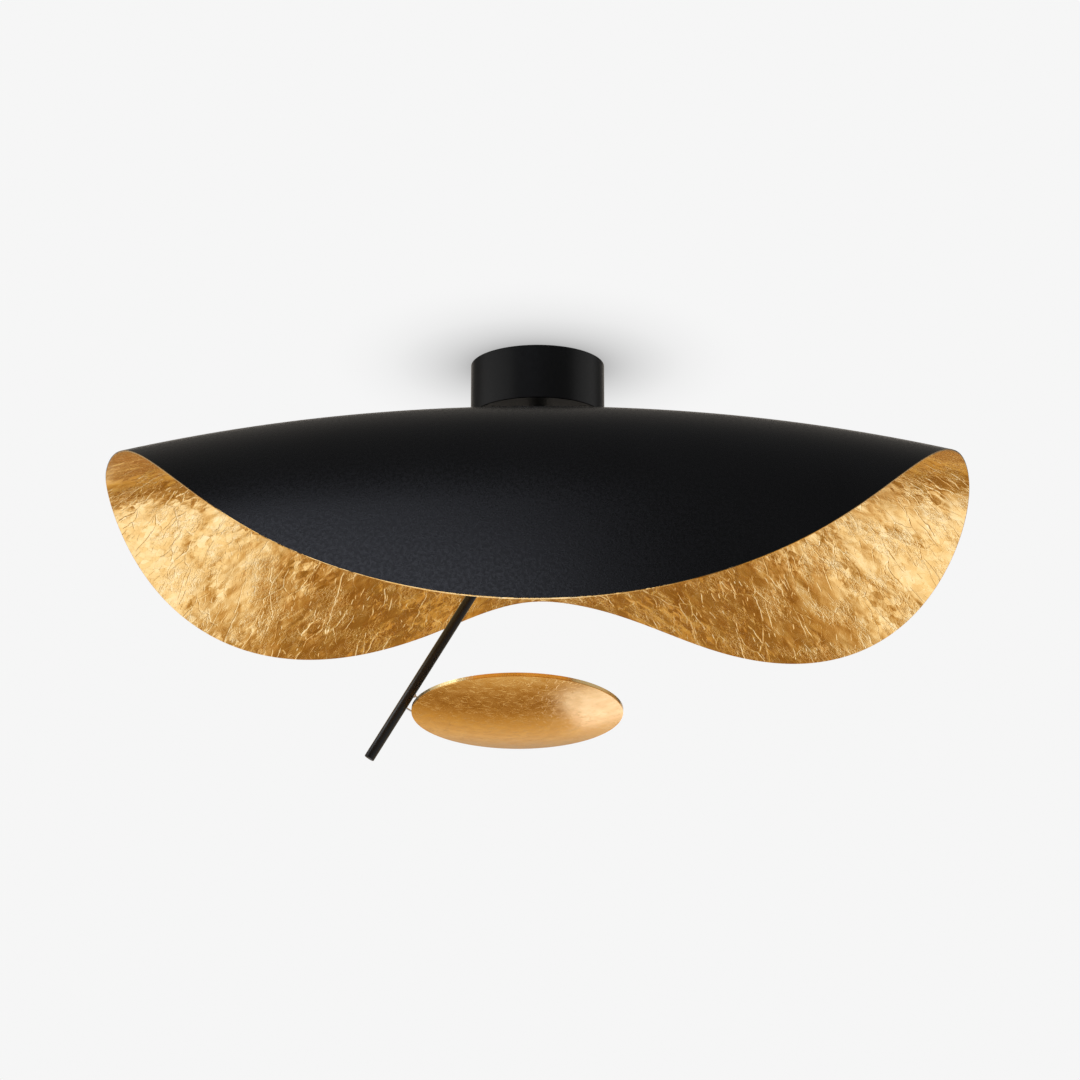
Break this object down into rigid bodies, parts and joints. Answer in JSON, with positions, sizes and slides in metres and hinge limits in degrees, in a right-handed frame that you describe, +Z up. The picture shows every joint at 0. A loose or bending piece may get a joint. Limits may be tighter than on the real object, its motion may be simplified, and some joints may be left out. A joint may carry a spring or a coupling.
{
  "type": "ceiling light",
  "caption": "Ceiling light with a round sheet shade bent into flaps like a lotus leaf, black outside and gilded inside, and a tilting rod that carries a shallow domed disc.",
  "frame": {"origin": "middle of the mounting strap's upper face, on the ceiling", "axes": "+Z up into the ceiling, -Y to the front where the large flap hangs, +X to the right seen from the front"},
  "size_m": [0.9954, 0.8913, 0.474],
  "materials": {
    "black_paint": "matt black powder coat",
    "leaf_black": "sheet, satin black outside and leaf-gilded inside",
    "gold_leaf": "gilded with metal leaf, with fine wrinkles",
    "zinc_steel": "zinc plated",
    "white_plastic": "white moulded",
    "felt": "black felt",
    "opal": "opal white",
    "circuit_board": "white solder mask",
    "led_lens": "yellow phosphor",
    "pin_steel": "bright",
    "brass": "plain"
  },
  "bodies": {
    "root": {"mounting_strap": "zinc_steel", "earth_screw": "brass", "canopy_shell": "black_paint", "canopy_base": "black_paint", "canopy_side_screws": "black_paint", "led_driver": "white_plastic", "driver_screws": "zinc_steel", "terminal_block": "white_plastic", "terminal_screws": "brass", "centre_stem": "zinc_steel", "stem_nuts": "zinc_steel", "neck_sleeve": "black_paint", "upper_clamp_plate": "black_paint", "lower_clamp_plate": "black_paint", "felt_washers": "felt", "leaf_shade": "leaf_black", "swivel_washer": "zinc_steel"},
    "swivel": {"swivel_yoke": "black_paint", "pivot_bolt": "black_paint", "pivot_nut": "zinc_steel", "pivot_washers": "zinc_steel"},
    "arm": {"rod_knuckle": "black_paint", "rod_pin": "zinc_steel", "rod_tube": "black_paint", "rod_cap": "black_paint", "pin_bush": "white_plastic", "contact_pins": "pin_steel", "disc_rim": "gold_leaf", "disc_plate": "gold_leaf", "disc_dome": "gold_leaf", "disc_screws": "gold_leaf", "led_board": "circuit_board", "led_chips": "led_lens", "diffuser": "opal", "pin_socket": "white_plastic"}
  },
  "joints": [
    {"name": "arm_swivel", "type": "hinge", "parent": "root", "child": "swivel", "pos_m": [0, 0, -0.118], "axis": [0, 0, 1], "range_deg": [-170, 170]},
    {"name": "arm_tilt", "type": "hinge", "parent": "swivel", "child": "arm", "pos_m": [0, 0, -0.1535], "axis": [0, 1, 0], "range_deg": [-30, 25]}
  ]
}
